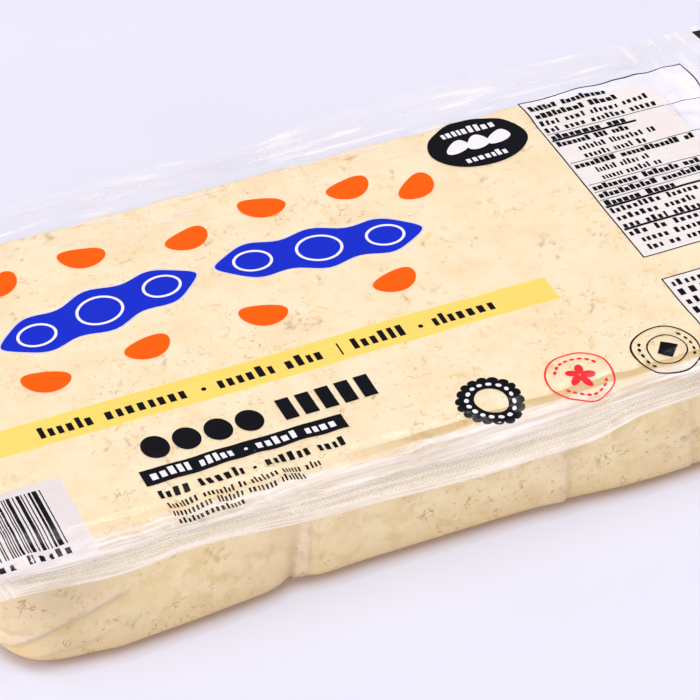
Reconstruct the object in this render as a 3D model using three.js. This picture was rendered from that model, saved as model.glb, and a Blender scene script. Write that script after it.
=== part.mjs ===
// Vacuum-packed block of firm tofu, lying flat with its printed lid up.
// Two bodies: the block, out to the thin formed film that hugs it, and the lid film that lies on the
// block and runs on past it as the heat-sealed flange.
//
// Millimetres, +Z up, +X along the block. The origin is on the resting face, under the middle.

import * as THREE from 'three';

// Block, out to its formed lower film.
const BLOCK_LENGTH = 247.5;
const BLOCK_WIDTH = 127;
const BLOCK_HEIGHT = 37.2;
const PLAN_CORNER_RADIUS = 14;
const FOOT_ROUND = 4.2;
const TOP_ROUND = 3.6;

// Lid film and sealed flange.
const FILM_GAP = 0.3; // clear space between the block and the lid film
const LID_THICKNESS = 0.5;
const WELD_THICKNESS = 0.8; // both films, welded
const FLANGE_REACH_AT_ENDS = 27;
const FLANGE_REACH_AT_SIDES = 12.8;
const FLANGE_CORNER_RADIUS = 4;
const WELD_START = 0.4; // share of the flange's reach where the welded band begins
const WELD_STEP_END = 0.5;

// How finely the outline is divided. CORNER_STEPS is even, so that one station meets the rim's corner.
const LONG_SIDE_STEPS = 40;
const SHORT_SIDE_STEPS = 12;
const CORNER_STEPS = 8;
const ROUND_STEPS = 4;
const WALL_STEPS = 6;
const TOP_MARGIN = 9; // first ring on the top face, in from its rounded edge
const TOP_SCALES = [0.68, 0.32]; // smaller rings, as a share of that ring
const FLANGE_SHARES = [0.22, WELD_START, WELD_STEP_END, 0.76, 1];

// Folds of the walls. "at" is a fold's place along its side. It rises over "before" and falls over
// "after", its height is outwards, and "atTop" is the share of it that is left at the top edge.
const NEAR_FOLDS = [
  { at: -92, before: 38, after: 58, height: 3.6, atTop: 0 }, // low bulge by the left corner
  { at: -90.5, before: 10, after: 3.5, height: 0.8, atTop: 0 }, // where that bulge breaks off
  { at: -43.4, before: 4, after: 3, height: -2.1, atTop: 0.6 }, // deep pinch in the film
  { at: -36, before: 5, after: 12, height: 0.5, atTop: 0.6 },
  { at: 31.5, before: 6, after: 4, height: 0.9, atTop: 0.5 },
  { at: 61, before: 34, after: 50, height: 2.4, atTop: 0.1 },
];
const FAR_FOLDS = [
  { at: -84, before: 9, after: 5, height: -1.5, atTop: 0.5 },
  { at: -20, before: 26, after: 30, height: 1.2, atTop: 0.4 },
  { at: 48, before: 12, after: 5, height: -1.3, atTop: 0.3 },
  { at: 111, before: 30, after: 24, height: -4.6, atTop: 1 }, // the block's corner, drawn in
];
const END_FOLDS = [
  { at: -24, before: 7, after: 4, height: -1.2, atTop: 0.5 },
  { at: 12, before: 5, after: 22, height: 0.8, atTop: 0.2 },
];
// A crease climbs along the walls from the left. Folds that fade upwards do so across it.
const CREASE = { footHeight: 10.5, slope: 0.24, topHeight: 24, spread: 4 };
// Shallow grooves that sweep round the corners.
const CORNER_GROOVES = [
  { z: 15, depth: 0.9, halfWidth: 3 },
  { z: 24, depth: 0.6, halfWidth: 3.5 },
];

// How far the flange's rim stands over (+) or hangs below the lid's plane: [place along X, height].
const NEAR_RIM = [
  [-130, 2], [-96, -1.6], [-74, -0.1], [-35, -3.4], [6, -5.4], [33, -5.1], [52, -0.4], [76, 0.2], [104, -1.8],
  [132, 0.6],
];
const FAR_RIM = [
  [-130, 0.6], [-96, 0.4], [-52, -1.9], [-30, -1], [-6, -3.2], [24, 0.5], [61, 1.9], [104, -0.6], [134, -3],
];
const END_RIM = { sag: 2.2, wavelength: 58, ripple: 1.1 };

// The top face is not quite flat: long, low swells.
const SWELLS = [
  { along: 118, across: 96, phase: 0.6, height: 0.2 },
  { along: -74, across: 61, phase: 2.1, height: 0.12 },
];

const HALF_LENGTH = BLOCK_LENGTH / 2;
const HALF_WIDTH = BLOCK_WIDTH / 2;
const LID_PLANE = BLOCK_HEIGHT + FILM_GAP;

const { lerp, smoothstep } = THREE.MathUtils;

// Height of a smooth curve through [place, height] points, level beyond both ends.
function curveHeight(points, place) {
  const next = points.findIndex(([at]) => at > place);
  if (next === 0) return points[0][1];
  if (next < 0) return points[points.length - 1][1];
  const [from, low] = points[next - 1];
  const [to, high] = points[next];
  return lerp(low, high, smoothstep(place, from, to));
}

// The outline's stations, anticlockwise seen from above. Each has a core point, on the rectangle that
// joins the corners' centres, and the outward direction there. A station on a corner is a share of the
// turn from one side to the next; on a straight side that share is 1.
function outlineStations() {
  const coreX = HALF_LENGTH - PLAN_CORNER_RADIUS;
  const coreY = HALF_WIDTH - PLAN_CORNER_RADIUS;
  const corners = [[-1, -1], [1, -1], [1, 1], [-1, 1]].map(([x, y]) => new THREE.Vector2(x * coreX, y * coreY));
  const facing = [[-1, 0], [0, -1], [1, 0], [0, 1]].map(([x, y]) => new THREE.Vector2(x, y));
  return corners.flatMap((corner, i) => {
    const [from, to] = [facing[i], facing[(i + 1) % facing.length]];
    const onCorner = Array.from({ length: CORNER_STEPS }, (_, step) => {
      const turn = step / CORNER_STEPS;
      const angle = turn * (Math.PI / 2);
      const out = from.clone().multiplyScalar(Math.cos(angle)).addScaledVector(to, Math.sin(angle));
      return { core: corner, out, from, to, turn };
    });
    const sideSteps = i % 2 === 0 ? LONG_SIDE_STEPS : SHORT_SIDE_STEPS;
    const onSide = Array.from({ length: sideSteps }, (_, step) => {
      const core = corner.clone().lerp(corners[(i + 1) % corners.length], step / sideSteps);
      return { core, out: to, from, to, turn: 1 };
    });
    return [...onCorner, ...onSide];
  });
}

// How much of a station lies on a corner: 0 on the straight sides, 1 at a corner's middle.
function cornerShare(station) {
  return Math.abs(2 * station.out.x * station.out.y);
}

// A point at a distance outside the block's nominal outline (negative is inside).
function outlinePoint(station, offset, z = 0) {
  const reach = PLAN_CORNER_RADIUS + offset;
  return new THREE.Vector3(station.core.x + station.out.x * reach, station.core.y + station.out.y * reach, z);
}

// One fold's height at a place along its side and at a height on the wall.
function foldHeight(fold, along, z) {
  const t = (along - fold.at) / (along < fold.at ? fold.before : fold.after);
  if (Math.abs(t) >= 1) return 0;
  const crease = Math.min(CREASE.footHeight + CREASE.slope * (along + HALF_LENGTH), CREASE.topHeight);
  const kept = lerp(1, fold.atTop, smoothstep(z, crease - CREASE.spread, crease + CREASE.spread));
  return fold.height * (1 - t * t) ** 2 * kept;
}

// Outward relief of the wall at a station and a height.
function wallRelief(station, z) {
  const { core, out } = station;
  const sum = (folds, along) => folds.reduce((total, fold) => total + foldHeight(fold, along, z), 0);
  const along = core.x + out.x * PLAN_CORNER_RADIUS;
  const sides = sum(out.y < 0 ? NEAR_FOLDS : FAR_FOLDS, along) * out.y ** 2;
  const ends = sum(END_FOLDS, core.y) * out.x ** 2;
  const grooves = CORNER_GROOVES.reduce((total, groove) => {
    const t = (z - groove.z) / groove.halfWidth;
    return total - groove.depth * Math.exp(-t * t);
  }, 0);
  return sides + ends + grooves * cornerShare(station);
}

// Height of the top face's swells over its mean plane.
function swell(x, y) {
  return SWELLS.reduce((total, wave) => {
    const turn = 2 * Math.PI * (x / wave.along + y / wave.across);
    return total + wave.height * Math.cos(turn + wave.phase);
  }, 0);
}

// How far the flange's rim lies from a corner's core point, for a side that faces along "axis".
function rimReach(axis) {
  return PLAN_CORNER_RADIUS + (axis.x === 0 ? FLANGE_REACH_AT_SIDES : FLANGE_REACH_AT_ENDS);
}

// The flange's rim at a station. Its corners are squarer than the block's, so on a corner the stations
// spread along both edges, closer together towards the rim's own corner.
function rimPoint(station) {
  const { core, from, to, turn } = station;
  const [fromReach, toReach] = [rimReach(from), rimReach(to)];
  const short = 1 - Math.abs(2 * turn - 1) ** 1.5;
  const place = new THREE.Vector2(fromReach * (turn > 0.5 ? short : 1), toReach * (turn < 0.5 ? short : 1));
  const arcCentre = new THREE.Vector2(fromReach, toReach).subScalar(FLANGE_CORNER_RADIUS);
  if (place.x > arcCentre.x && place.y > arcCentre.y) {
    place.sub(arcCentre).setLength(FLANGE_CORNER_RADIUS).add(arcCentre);
  }
  const rim = core.clone().addScaledVector(from, place.x).addScaledVector(to, place.y);
  return new THREE.Vector3(rim.x, rim.y, 0);
}

// How far the rim stands over the lid's plane, from the side's curve and the end's ripple.
function rimLift(rim, station) {
  const side = curveHeight(station.out.y < 0 ? NEAR_RIM : FAR_RIM, rim.x);
  const end = END_RIM.ripple * Math.sin((2 * Math.PI * rim.y) / END_RIM.wavelength) - END_RIM.sag;
  return side * station.out.y ** 2 + end * station.out.x ** 2;
}

// Rings of the top face, from near its rounded edge in to the middle, with their swells over a height.
function topRings(stations, height) {
  const first = stations.map((station) => outlinePoint(station, -TOP_ROUND - TOP_MARGIN));
  const smaller = TOP_SCALES.map((scale) => first.map((point) => point.clone().multiplyScalar(scale)));
  return [first, ...smaller].map((ring) => ring.map((p) => p.setZ(height + swell(p.x, p.y))));
}

// A closed solid from rings of equal length, each anticlockwise. Fans to a middle point close its ends.
function loft(rings) {
  const count = rings[0].length;
  const middle = (ring) => ring.reduce((sum, p) => sum.add(p), new THREE.Vector3()).divideScalar(count);
  const points = [...rings.flat(), middle(rings[0]), middle(rings[rings.length - 1])];
  const faces = [];
  rings.slice(1).forEach((_, ring) => {
    for (let i = 0; i < count; i += 1) {
      const here = ring * count + i;
      const next = ring * count + ((i + 1) % count);
      faces.push(here, next, next + count, here, next + count, here + count);
    }
  });
  const lastRing = (rings.length - 1) * count;
  for (let i = 0; i < count; i += 1) {
    const next = (i + 1) % count;
    faces.push(points.length - 2, next, i);
    faces.push(points.length - 1, lastRing + i, lastRing + next);
  }
  const geometry = new THREE.BufferGeometry().setFromPoints(points);
  geometry.setIndex(faces);
  geometry.computeVertexNormals();
  return geometry;
}

// The block: flat foot, rounded foot edge, folded walls, rounded top edge and a slightly uneven top.
function blockGeometry(stations) {
  const ring = (offset, z) => stations.map((station) => outlinePoint(station, offset + wallRelief(station, z), z));
  const quarterTurn = (step) => (step / ROUND_STEPS) * (Math.PI / 2);
  const rings = [];
  for (let step = 0; step < ROUND_STEPS; step += 1) {
    const angle = quarterTurn(step);
    rings.push(ring(FOOT_ROUND * (Math.sin(angle) - 1), FOOT_ROUND * (1 - Math.cos(angle))));
  }
  for (let step = 0; step < WALL_STEPS; step += 1) {
    rings.push(ring(0, lerp(FOOT_ROUND, BLOCK_HEIGHT - TOP_ROUND, step / WALL_STEPS)));
  }
  for (let step = 0; step <= ROUND_STEPS; step += 1) {
    const angle = quarterTurn(step);
    const edge = ring(TOP_ROUND * (Math.cos(angle) - 1), BLOCK_HEIGHT - TOP_ROUND * (1 - Math.sin(angle)));
    edge.forEach((p) => p.setZ(p.z + (swell(p.x, p.y) * step) / ROUND_STEPS));
    rings.push(edge);
  }
  return loft([...rings, ...topRings(stations, BLOCK_HEIGHT)]);
}

// One face of the lid film and flange, from the middle out to the rim. "printed" is its upper face.
function filmRings(stations, printed) {
  const lidHeight = LID_PLANE + (printed ? LID_THICKNESS : 0);
  const weldHeight = LID_PLANE + (printed ? WELD_THICKNESS : 0);
  const edges = [-TOP_ROUND, 0].map((offset) => stations.map((station) => {
    const p = outlinePoint(station, offset);
    return p.setZ(lidHeight + swell(p.x, p.y));
  }));
  const flange = FLANGE_SHARES.map((share) => stations.map((station) => {
    const [edge, rim] = [outlinePoint(station, 0), rimPoint(station)];
    const height = lerp(lidHeight, weldHeight, smoothstep(share, WELD_START, WELD_STEP_END));
    const lift = lerp(swell(edge.x, edge.y), 0, share) + rimLift(rim, station) * smoothstep(share, 0, 1);
    return edge.lerp(rim, share).setZ(height + lift);
  }));
  return [...topRings(stations, lidHeight).reverse(), ...edges, ...flange];
}

// The lid film with its flange, one thin closed sheet.
function lidFilmGeometry(stations) {
  return loft([...filmRings(stations, false), ...filmRings(stations, true).reverse()]);
}

function namedMesh(name, geometry, material) {
  const mesh = new THREE.Mesh(geometry, material);
  mesh.name = name;
  return mesh;
}

const tofuMaterial = new THREE.MeshStandardMaterial({ color: 0xf1dcb8, roughness: 0.45, metalness: 0 });
const filmMaterial = new THREE.MeshStandardMaterial({ color: 0xf3eee8, roughness: 0.15, metalness: 0 });

const stations = outlineStations();
const pack = new THREE.Group();
pack.add(namedMesh('tofu_block', blockGeometry(stations), tofuMaterial));
pack.add(namedMesh('lid_film', lidFilmGeometry(stations), filmMaterial));

export default pack;
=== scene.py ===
"""Looks of a vacuum-packed block of firm tofu: curd, formed film, printed lid film and welded seal.

Blender 4.5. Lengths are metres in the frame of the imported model: +X along the block, +Z up, the
resting face at Z 0. A number times MM is in millimetres, and the lid's print is laid out in them.
"""

import logging
import math
import random
from collections.abc import Callable, Iterator
from contextlib import contextmanager
from dataclasses import dataclass, field
from enum import Enum

import bmesh
import bpy
from mathutils import Matrix, Vector, noise

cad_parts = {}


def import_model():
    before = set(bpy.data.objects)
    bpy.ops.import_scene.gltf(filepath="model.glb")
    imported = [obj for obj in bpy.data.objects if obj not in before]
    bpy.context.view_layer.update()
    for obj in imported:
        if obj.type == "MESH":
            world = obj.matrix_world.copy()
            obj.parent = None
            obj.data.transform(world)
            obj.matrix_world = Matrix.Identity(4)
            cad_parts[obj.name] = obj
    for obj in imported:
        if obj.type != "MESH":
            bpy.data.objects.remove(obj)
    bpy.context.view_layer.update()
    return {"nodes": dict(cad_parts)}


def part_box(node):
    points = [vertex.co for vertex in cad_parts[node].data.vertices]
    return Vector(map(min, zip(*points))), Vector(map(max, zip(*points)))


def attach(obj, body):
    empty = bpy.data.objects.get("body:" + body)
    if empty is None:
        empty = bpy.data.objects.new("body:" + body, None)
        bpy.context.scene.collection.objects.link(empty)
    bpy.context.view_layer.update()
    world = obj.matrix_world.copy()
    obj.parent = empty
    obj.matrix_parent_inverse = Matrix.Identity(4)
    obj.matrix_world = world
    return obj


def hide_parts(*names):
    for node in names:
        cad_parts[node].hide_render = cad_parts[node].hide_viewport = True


MM = 0.001
BODY = "root"
SEED = 11
LOG = logging.getLogger("tofu_block")
# Vertex attribute of a film's milk; on the lid and the formed film it also holds painted highlights.
HAZE_AND_GLINTS = "haze"

Place = tuple[float, float]
Point = tuple[float, float, float]
Field = tuple[float, float, float, float]
Colour = tuple[float, float, float, float]


def linear(red: int, green: int, blue: int) -> Colour:
    """Turns a display colour of 0 to 255 into the linear one that shaders take.

    Args:
        red: Its red channel.
        green: Its green channel.
        blue: Its blue channel.

    Returns:
        The linear colour with full opacity.
    """

    def channel(value: int) -> float:
        """One channel of it."""
        share = value / 255
        return share / 12.92 if share <= 0.04045 else ((share + 0.055) / 1.055) ** 2.4

    return channel(red), channel(green), channel(blue), 1.0


def ease(value: float, start: float, end: float) -> float:
    """Rises smoothly from 0 at start to 1 at end."""
    share = min(max((value - start) / (end - start), 0.0), 1.0)
    return share * share * (3 - 2 * share)


def sway(x: float, y: float, z: float) -> float:
    """Smooth random variation around 0 over space."""
    return noise.noise(Vector((x, y, z)))


# ---------------------------------------------------------------- shader kit


def operator(operation: str, swapped: bool = False) -> Callable[["Signal", "Signal | float"], "Signal"]:
    """Makes a method of Signal that adds one Math node.

    Args:
        operation: What the node does.
        swapped: Whether the other value comes first.

    Returns:
        The method.
    """

    def method(signal: "Signal", other: "Signal | float") -> "Signal":
        """Joins the signal and the other value in a Math node."""
        return signal.math(operation, *((other, signal) if swapped else (signal, other)))

    return method


class Signal:
    """A shader value. Python's operators on it add Math nodes, and least, most and power do too."""

    def __init__(self, graph: "Graph", socket: bpy.types.NodeSocket | None) -> None:
        """Wraps one output socket of a graph, or none for a node without outputs."""
        self.graph = graph
        self.socket = socket

    def math(self, operation: str, *values: "Signal | float") -> "Signal":
        """Adds one Math node over the values."""
        return self.graph.node("ShaderNodeMath", {"operation": operation}, dict(enumerate(values)))

    __add__ = __radd__ = operator("ADD")
    __sub__ = operator("SUBTRACT")
    __rsub__ = operator("SUBTRACT", swapped=True)
    __mul__ = __rmul__ = operator("MULTIPLY")
    least = operator("MINIMUM")
    most = operator("MAXIMUM")
    power = operator("POWER")

    def __abs__(self) -> "Signal":
        """Size without its sign."""
        return self.math("ABSOLUTE", self)

    def ramp(self, start: float, end: float, low: float = 0.0, high: float = 1.0) -> "Signal":
        """Goes smoothly from low at start to high at end.

        Args:
            start: Value where it leaves low.
            end: Value where it reaches high.
            low: Result up to start.
            high: Result from end on.

        Returns:
            The eased value.
        """
        settings = {"interpolation_type": "SMOOTHSTEP"}
        values = {"Value": self, "From Min": start, "From Max": end, "To Min": low, "To Max": high}
        return self.graph.node("ShaderNodeMapRange", settings, values)


Input = Signal | float | tuple


class Graph:
    """The node tree of one material."""

    MIX_FACTOR, MIX_FIRST, MIX_SECOND, MIX_COLOUR = 0, 6, 7, 2

    def __init__(self, name: str) -> None:
        """Starts an empty material.

        Args:
            name: Its name.
        """
        self.material = bpy.data.materials.new(name)
        self.material.use_nodes = True
        self.tree = self.material.node_tree
        self.tree.nodes.clear()

    def node(
        self,
        kind: str,
        settings: dict[str, object] | None = None,
        sockets: dict[str | int, Input] | None = None,
        output: str | int = 0,
    ) -> Signal:
        """Adds a node.

        Args:
            kind: The node's type.
            settings: Its own settings, set before its sockets are.
            sockets: Values or links of its inputs, by name or index.
            output: The output to hand back, by name or index.

        Returns:
            That output, empty for a node that has none.
        """
        made = self.tree.nodes.new(kind)
        for name, value in (settings or {}).items():
            setattr(made, name, value)
        for name, value in (sockets or {}).items():
            if isinstance(value, Signal):
                self.tree.links.new(value.socket, made.inputs[name])
            else:
                made.inputs[name].default_value = value
        return Signal(self, made.outputs[output] if made.outputs else None)

    def place(self, stretch: Point = (1, 1, 1)) -> Signal:
        """Gives object coordinates in millimetres.

        Args:
            stretch: How far they are stretched along each axis.

        Returns:
            The coordinates.
        """
        raw = self.node("ShaderNodeTexCoord", output="Object")
        scale = tuple(value / MM for value in stretch)
        return self.node("ShaderNodeMapping", sockets={"Vector": raw, "Scale": scale})

    def axes(self) -> tuple[Signal, Signal, Signal]:
        """Splits the object coordinates.

        Returns:
            X, Y and Z in millimetres.
        """
        split = self.node("ShaderNodeSeparateXYZ", sockets={"Vector": self.place()})
        x, y, z = (Signal(self, output) for output in split.socket.node.outputs)
        return x, y, z

    def grain(self, place: Signal, size: float, detail: float = 2.0, warp: float = 0.0) -> Signal:
        """Random variation from 0 to 1: size is millimetres between patches, detail octaves."""
        values = {"Vector": place, "Scale": 1 / size, "Detail": detail, "Distortion": warp}
        return self.node("ShaderNodeTexNoise", sockets=values)

    def attribute(self, name: str) -> Signal:
        """A number kept on the mesh's vertices."""
        return self.node("ShaderNodeAttribute", {"attribute_name": name}, output="Fac")

    def blend(self, share: Input, first: Input, second: Input) -> Signal:
        """Mixes two colours, from the first at share 0 to the second at 1."""
        values = {self.MIX_FACTOR: share, self.MIX_FIRST: first, self.MIX_SECOND: second}
        return self.node("ShaderNodeMix", {"data_type": "RGBA"}, values, self.MIX_COLOUR)

    def bump(self, height: Signal, depth: float, normal: Signal | None = None) -> Signal:
        """Turns a height between 0 and 1 into a normal.

        Args:
            height: The relief.
            depth: Millimetres between its low and high.
            normal: Normal to start from.

        Returns:
            The bent normal.
        """
        values: dict[str | int, Input] = {"Height": height, "Distance": depth * MM, "Strength": 1.0}
        if normal is not None:
            values["Normal"] = normal
        return self.node("ShaderNodeBump", sockets=values)

    def shader_mix(self, share: Input, first: Signal, second: Signal) -> Signal:
        """Mixes two shaders."""
        return self.node("ShaderNodeMixShader", sockets={0: share, 1: first, 2: second})

    def finish(self, surface: Signal) -> bpy.types.Material:
        """Sends a shader to the output and hands back the material."""
        self.node("ShaderNodeOutputMaterial", sockets={"Surface": surface})
        return self.material

    def opaque(self, sockets: dict[str | int, Input]) -> bpy.types.Material:
        """Finishes the material with the Principled shader and these inputs."""
        return self.finish(self.node("ShaderNodeBsdfPrincipled", sockets=sockets))


# ---------------------------------------------------------------- finishes


@dataclass(frozen=True)
class CurdFinish:
    """Firm pressed bean curd: cream, cloudy, with short tan cracks and pores, and tanner on its sides. It
    carries painted shade too: darker towards its foot, a painted contact shadow at the very foot, painted
    shade on the walls towards the left end, a stripe of painted shade at the near brink and painted shade
    along the film's folds.

    Its heights and places are millimetres. A crack is its cells' size and its half width.
    """

    top: Colour = linear(242, 224, 193)
    top_cloud: Colour = linear(237, 213, 174)
    side: Colour = linear(252, 230, 186)
    side_cloud: Colour = linear(242, 215, 164)
    # Painted shade for the walls towards the left end.
    painted_end_shade: Colour = linear(214, 194, 158)
    olive: Colour = linear(226, 195, 132)
    # Tan of the stains on the upper face, and of the painted shade that darkens the walls towards the foot.
    tan: Colour = linear(229, 199, 145)
    # Colour of cracks, pores and dents, and of the folds' painted shade.
    mark: Colour = linear(172, 130, 72)
    # Tan of the near brink's stripe, partly painted shade.
    brink_shade: Colour = linear(214, 184, 130)
    shadow: Colour = linear(120, 88, 58)
    scatter: float = 0.2
    scatter_radius: Point = (1.0, 0.62, 0.35)
    edge: Place = (37.0, 35.5)
    left_end: Place = (-70.0, -118.0)
    end_shade_span: Place = (-70.0, -122.0)
    brink_shade_line: Place = (-58.4, -60.9)
    foot: Place = (2.6, 0.9)
    fine_crack: Place = (2.1, 0.06)
    long_crack: Place = (5.5, 0.08)

    def material(self) -> bpy.types.Material:
        """Builds the material.

        Returns:
            The finished material.
        """
        graph = Graph("curd")
        place = graph.place()
        height = graph.axes()[2]
        wall = height.ramp(*self.edge)
        mottle = graph.grain(place, 4.2, 4).ramp(0.35, 0.72)
        # The near brink's stripe: partly the wet film's tone, partly painted shade where the face rounds
        # away.
        base = graph.blend(self._brink_shade(graph), self._ground(graph, place, wall, mottle), self.brink_shade)
        fine = self._cracks(graph, place, *self.fine_crack)
        long = self._cracks(graph, place, *self.long_crack)
        marks_and_fold_shade = (fine * 0.7).most(long * 0.9).most(self._pores(graph, place) * 0.8)
        # The dent attribute also carries the folds' painted shade, drawn here in the mark colour.
        marks_and_fold_shade = (marks_and_fold_shade * (wall * 0.14 + 0.6)).most(graph.attribute(CurdBlock.DENTS_AND_FOLD_SHADE) * 0.6)
        colour = graph.blend(marks_and_fold_shade, base, self.mark)
        sockets = {
            "Base Color": graph.blend(height.ramp(*self.foot, 0, 0.8), colour, self.shadow),
            "Roughness": mottle.ramp(0, 1, 0.42, 0.58),
            "Normal": graph.bump(graph.grain(place, 2.2, 2), 0.14),
            "Subsurface Weight": self.scatter,
            "Subsurface Radius": self.scatter_radius,
            "Subsurface Scale": 0.7 * MM,
            "Specular IOR Level": 0.35,
        }
        return graph.opaque(sockets)

    def _ground(self, graph: Graph, place: Signal, wall: Signal, mottle: Signal) -> Signal:
        """The curd's colour: clouds, olive patches and stains, painted shade on the walls towards the left
        end, and tanner towards the foot, which is painted shade.

        Args:
            graph: The material's nodes.
            place: Coordinates in millimetres.
            wall: 1 on the walls and 0 on the upper face.
            mottle: Fine clouds.

        Returns:
            The colour before the cracks and pores.
        """
        x, _, height = graph.axes()
        clouds = graph.grain(place, 13, 4).ramp(0.4, 0.68)
        clear = graph.blend(wall, self.top, self.side)
        cloudy = graph.blend(wall, self.top_cloud, self.side_cloud)
        tanner = x.ramp(*self.left_end, 0, 0.35)
        base = graph.blend((clouds * 0.6 + mottle * 0.5 + tanner).least(1), clear, cloudy)
        # Painted shade: the walls darken towards the left end.
        base = graph.blend(wall * x.ramp(*self.end_shade_span, 0, 0.75), base, self.painted_end_shade)
        green = graph.grain(place, 6, 3, 0.6).ramp(0.46, 0.7) * (wall * 0.52 + 0.08)
        base = graph.blend(green, base, self.olive)
        ragged = graph.grain(place, 3.4, 4, 0.8).ramp(0.57, 0.66)
        group = graph.grain(place, 17, 1).ramp(0.47, 0.6)
        stains = ragged * group * (1 - wall) * 0.75
        # Real stains on the upper face, and painted shade darkening the walls below 14 mm, both in tan.
        return graph.blend(stains.most(height.ramp(14, 0.8, 0, 0.7)), base, self.tan)

    def _brink_shade(self, graph: Graph) -> Signal:
        """Draws the tan stripe where the upper face rounds over to the near wall, partly the wet film's tone
        and partly painted shade.

        Args:
            graph: The material's nodes.

        Returns:
            1 on the stripe and 0 off it.
        """
        x, y, z = graph.axes()
        upper, lower = self.brink_shade_line
        line = y + (graph.grain(graph.place((1, 0, 0)), 19, 1) - 0.5) * 1.6
        stripe = line.ramp(upper + 0.2, upper - 0.2) * line.ramp(lower - 0.2, lower + 0.2)
        return stripe * x.ramp(-34, 2, 0.15, 1) * z.ramp(34, 36)

    def _cracks(self, graph: Graph, place: Signal, cell: float, width: float) -> Signal:
        """Short broken cracks: cell borders of a warped pattern, kept in few places.

        Args:
            graph: The material's nodes.
            place: Coordinates in millimetres.
            cell: Size of the cells.
            width: A crack's half width.

        Returns:
            1 in a crack and 0 elsewhere.
        """
        values = {"Vector": place, "Scale": 2.2 / cell, "Detail": 1.0}
        wander = graph.node("ShaderNodeTexNoise", sockets=values, output="Color")
        add = {"operation": "MULTIPLY_ADD"}
        shifted = graph.node("ShaderNodeVectorMath", add, {0: wander, 1: (cell * 0.9,) * 3, 2: place})
        values = {"Vector": shifted, "Scale": 1 / cell}
        border = graph.node("ShaderNodeTexVoronoi", {"feature": "DISTANCE_TO_EDGE"}, values, "Distance")
        line = border.ramp(width / cell, width * 2.2 / cell, 1, 0)
        near = graph.grain(place, cell * 0.8, 1).ramp(0.6, 0.66)
        return line * near * graph.grain(place, 26, 0).ramp(0.3, 0.55)

    def _pores(self, graph: Graph, place: Signal) -> Signal:
        """Draws pinhead pores, one in a few cells of a loose grid.

        Args:
            graph: The material's nodes.
            place: Coordinates in millimetres.

        Returns:
            1 in a pore and 0 elsewhere.
        """
        cell = {"Vector": place, "Scale": 0.36}
        distance = graph.node("ShaderNodeTexVoronoi", sockets=cell, output="Distance")
        chance = graph.node("ShaderNodeTexVoronoi", sockets=cell, output="Color")
        split = graph.node("ShaderNodeSeparateColor", sockets={"Color": chance})
        return distance.ramp(0.06, 0.13, 1, 0) * split.ramp(0.78, 0.84)


@dataclass(frozen=True)
class FilmFinish:
    """Clear packing film. It shows what is behind it but for its gloss and a share of milky haze."""

    name: str
    haze: float = 0.02
    haze_attribute: str = ""
    milk: Colour = linear(249, 241, 243)
    roughness: float = 0.12
    gloss: float = 1.0
    ripple: float = 0.05
    ripple_size: Point = (0.08, 0.5, 0.5)

    CLEAR = (1.0, 1.0, 1.0, 1.0)
    THICKEST = 0.92
    THROUGH = 0.12
    FLAT_SHINE, EDGE_SHINE = 0.025, 0.9
    FOOT, END = (0.8, 3.6), (121.0, 125.0)
    ALONG, ACROSS = (0.035, 1.0, 0.3), (1.0, 0.035, 0.3)

    def material(self) -> bpy.types.Material:
        """Builds the material.

        Returns:
            The finished material.
        """
        graph = Graph(self.name)
        normal = graph.bump(graph.grain(graph.place(self.ripple_size), 1.0, 0), self.ripple)
        outer = 1 - graph.node("ShaderNodeNewGeometry", output="Backfacing")
        haze = outer * self.haze
        if self.haze_attribute:
            # This milk includes the painted highlights stored with it.
            milky = graph.attribute(self.haze_attribute)
            milky = milky * (self._streaks(graph) * milky.ramp(0.08, 0.3) + 1)
            haze = (outer * (milky + self.haze)).least(self.THICKEST)
        milk = {"Color": self.milk, "Normal": normal}
        diffuse = graph.node("ShaderNodeBsdfDiffuse", sockets=milk)
        through = graph.node("ShaderNodeBsdfTranslucent", sockets=milk)
        clear = graph.node("ShaderNodeBsdfTransparent", sockets={"Color": self.CLEAR})
        body = graph.shader_mix(haze, clear, graph.shader_mix(self.THROUGH, diffuse, through))
        shiny = {"Color": self.CLEAR, "Roughness": self.roughness, "Normal": normal}
        shine = graph.node("ShaderNodeBsdfGlossy", sockets=shiny)
        facing = graph.node("ShaderNodeLayerWeight", sockets={"Normal": normal}, output="Facing")
        off_foot = graph.axes()[2].ramp(*self.FOOT)
        share = (facing.power(5) * self.EDGE_SHINE + self.FLAT_SHINE) * outer * off_foot * self.gloss
        return graph.finish(graph.shader_mix(share, body, shine))

    def _streaks(self, graph: Graph) -> Signal:
        """Draws fine streaks in the haze, which run along the nearest edge of the pack.

        Args:
            graph: The material's nodes.

        Returns:
            The streaks, above and below 0.
        """
        lengthwise = graph.grain(graph.place(self.ALONG), 1.0, 2)
        crosswise = graph.grain(graph.place(self.ACROSS), 1.0, 2)
        at_end = abs(graph.axes()[0]).ramp(*self.END)
        return (lengthwise * (1 - at_end) + crosswise * at_end).ramp(0.32, 0.68, -0.35, 0.3)


@dataclass(frozen=True)
class InkFinish:
    """A printing ink under the film's gloss, with the faint drag lines of the press."""

    name: str
    colour: Colour
    cover: float = 1.0
    drag: float = 0.3
    roughness: float = 0.16

    THIN = 0.82

    def material(self) -> bpy.types.Material:
        """Builds the material.

        Returns:
            The finished material.
        """
        graph = Graph(self.name)
        drag = graph.grain(graph.place((0.05, 0.9, 1)), 1.0, 3)
        red, green, blue, _ = self.colour
        darker = (red * self.THIN, green * self.THIN, blue * self.THIN, 1.0)
        sockets = {
            "Base Color": graph.blend(drag.ramp(0.35, 0.75, 0, self.drag), self.colour, darker),
            "Roughness": drag.ramp(0.3, 0.7, self.roughness * 0.8, self.roughness * 1.2),
            "Alpha": self.cover,
            "Specular IOR Level": 0.35,
            "Normal": graph.bump(drag, 0.004),
        }
        return graph.opaque(sockets)


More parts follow.
